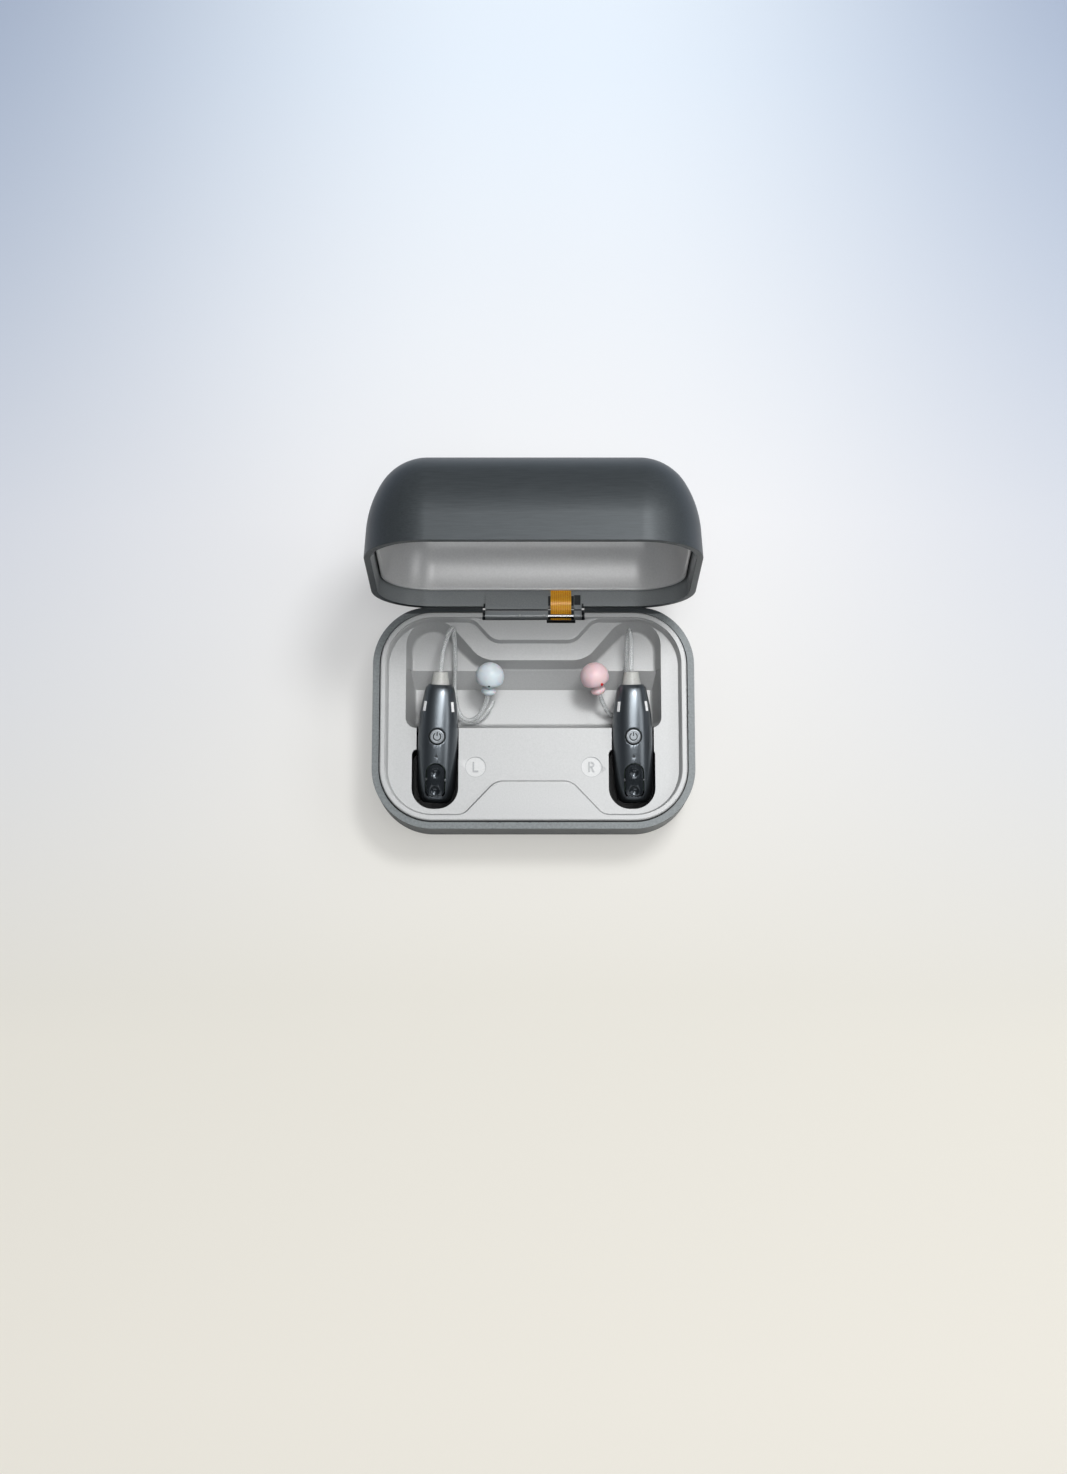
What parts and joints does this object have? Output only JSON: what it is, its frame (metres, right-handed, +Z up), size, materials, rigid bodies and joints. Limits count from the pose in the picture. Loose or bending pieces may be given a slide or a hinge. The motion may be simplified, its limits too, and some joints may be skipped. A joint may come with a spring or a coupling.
{
  "type": "hearing aid charging case",
  "caption": "Hinged rounded charging case, shown open, with two behind-the-ear hearing aids in black wells, clear sound tubes and soft ear domes.",
  "frame": {"origin": "middle of the flat underside of the base, level with what the case stands on", "axes": "+X to the right seen from the front, +Y to the back where the hinge is, +Z up; stored with the lid open"},
  "size_m": [0.09, 0.0934, 0.0783],
  "materials": {
    "gunmetal_case": "satin metallic lacquer",
    "silver_plastic": "fine satin",
    "black_plastic": "satin",
    "arm_plastic": "satin",
    "steel": "bright",
    "polyimide": "orange film",
    "cell_sleeve": "sleeve",
    "green_board": "solder mask",
    "chips": "moulded",
    "magnet": "nickel plated",
    "gold": "gold plated",
    "white_film": "film",
    "light_window": "clear",
    "light_chip": "domed",
    "gunmetal_aid": "metallic gloss",
    "silver_key": "metallic satin",
    "dark_key": "gloss",
    "pin_steel": "bright",
    "frosted": "translucent",
    "white_insert": "mesh",
    "aid_inside": "solder mask",
    "aid_metal": "can",
    "clear_tube": "clear, flexible",
    "blue_silicone": "soft, translucent",
    "pink_silicone": "soft, translucent"
  },
  "bodies": {
    "base": {"base_shell": "gunmetal_case", "inner_tray": "silver_plastic", "hinge_pin": "steel", "flex_cable": "polyimide", "case_cell": "cell_sleeve", "main_board": "green_board", "board_components": "chips", "board_screws": "steel", "usb_socket": "steel", "base_magnets": "magnet", "left_cradle": "black_plastic", "left_charging_pins": "gold", "left_contact_board": "green_board", "left_contact_lead": "white_film", "right_cradle": "black_plastic", "right_charging_pins": "gold", "right_contact_board": "green_board", "right_contact_lead": "white_film"},
    "lid": {"lid_shell": "gunmetal_case", "lid_liner": "silver_plastic", "lid_hinge_arm": "arm_plastic", "light_window": "light_window", "status_board": "green_board", "status_lights": "light_chip", "lid_magnets": "magnet"},
    "left_aid": {"left_aid_belly_shell": "gunmetal_aid", "left_aid_spine_cover": "gunmetal_aid", "left_rocker_pin": "pin_steel", "left_tube_nozzle": "frosted", "left_mic_inserts": "white_insert", "left_aid_contacts": "gold", "left_aid_board": "aid_inside", "left_aid_cell": "aid_metal", "left_receiver": "aid_metal", "left_button_switches": "aid_inside", "left_sound_tube": "clear_tube", "left_ear_dome": "blue_silicone", "left_retention_tail": "clear_tube"},
    "left_power_key": {"left_power_button": "silver_key"},
    "left_rocker_key": {"left_volume_rocker": "dark_key"},
    "right_aid": {"right_aid_belly_shell": "gunmetal_aid", "right_aid_spine_cover": "gunmetal_aid", "right_rocker_pin": "pin_steel", "right_tube_nozzle": "frosted", "right_mic_inserts": "white_insert", "right_aid_contacts": "gold", "right_aid_board": "aid_inside", "right_aid_cell": "aid_metal", "right_receiver": "aid_metal", "right_button_switches": "aid_inside", "right_sound_tube": "clear_tube", "right_ear_dome": "pink_silicone"},
    "right_power_key": {"right_power_button": "silver_key"},
    "right_rocker_key": {"right_volume_rocker": "dark_key"}
  },
  "joints": [
    {"name": "lid_hinge", "type": "hinge", "parent": "base", "child": "lid", "pos_m": [0, 0.02945, 0.01725], "axis": [-1, 0, 0], "range_deg": [-92.1, 0], "deforming": ["flex_cable"]},
    {"name": "left_aid_lift", "type": "slide", "parent": "base", "child": "left_aid", "axis": [0, 0, 1], "range_m": [0, 0.045]},
    {"name": "left_power_press", "type": "slide", "parent": "left_aid", "child": "left_power_key", "axis": [0.011, 0.2417, -0.9703], "range_m": [0, 0.0003], "stiffness_N_per_m": 400},
    {"name": "left_rocker_tilt", "type": "hinge", "parent": "left_aid", "child": "left_rocker_key", "pos_m": [-0.02725, -0.01748, 0.01719], "axis": [0.999, -0.0454, 0], "range_deg": [-4, 4], "stiffness_Nm_per_rad": 0.02},
    {"name": "right_aid_lift", "type": "slide", "parent": "base", "child": "right_aid", "axis": [0, 0, 1], "range_m": [0, 0.045]},
    {"name": "right_power_press", "type": "slide", "parent": "right_aid", "child": "right_power_key", "axis": [-0.0059, 0.2418, -0.9703], "range_m": [0, 0.0003], "stiffness_N_per_m": 400},
    {"name": "right_rocker_tilt", "type": "hinge", "parent": "right_aid", "child": "right_rocker_key", "pos_m": [0.02801, -0.01747, 0.01719], "axis": [0.9997, 0.0244, 0], "range_deg": [-4, 4], "stiffness_Nm_per_rad": 0.02}
  ]
}
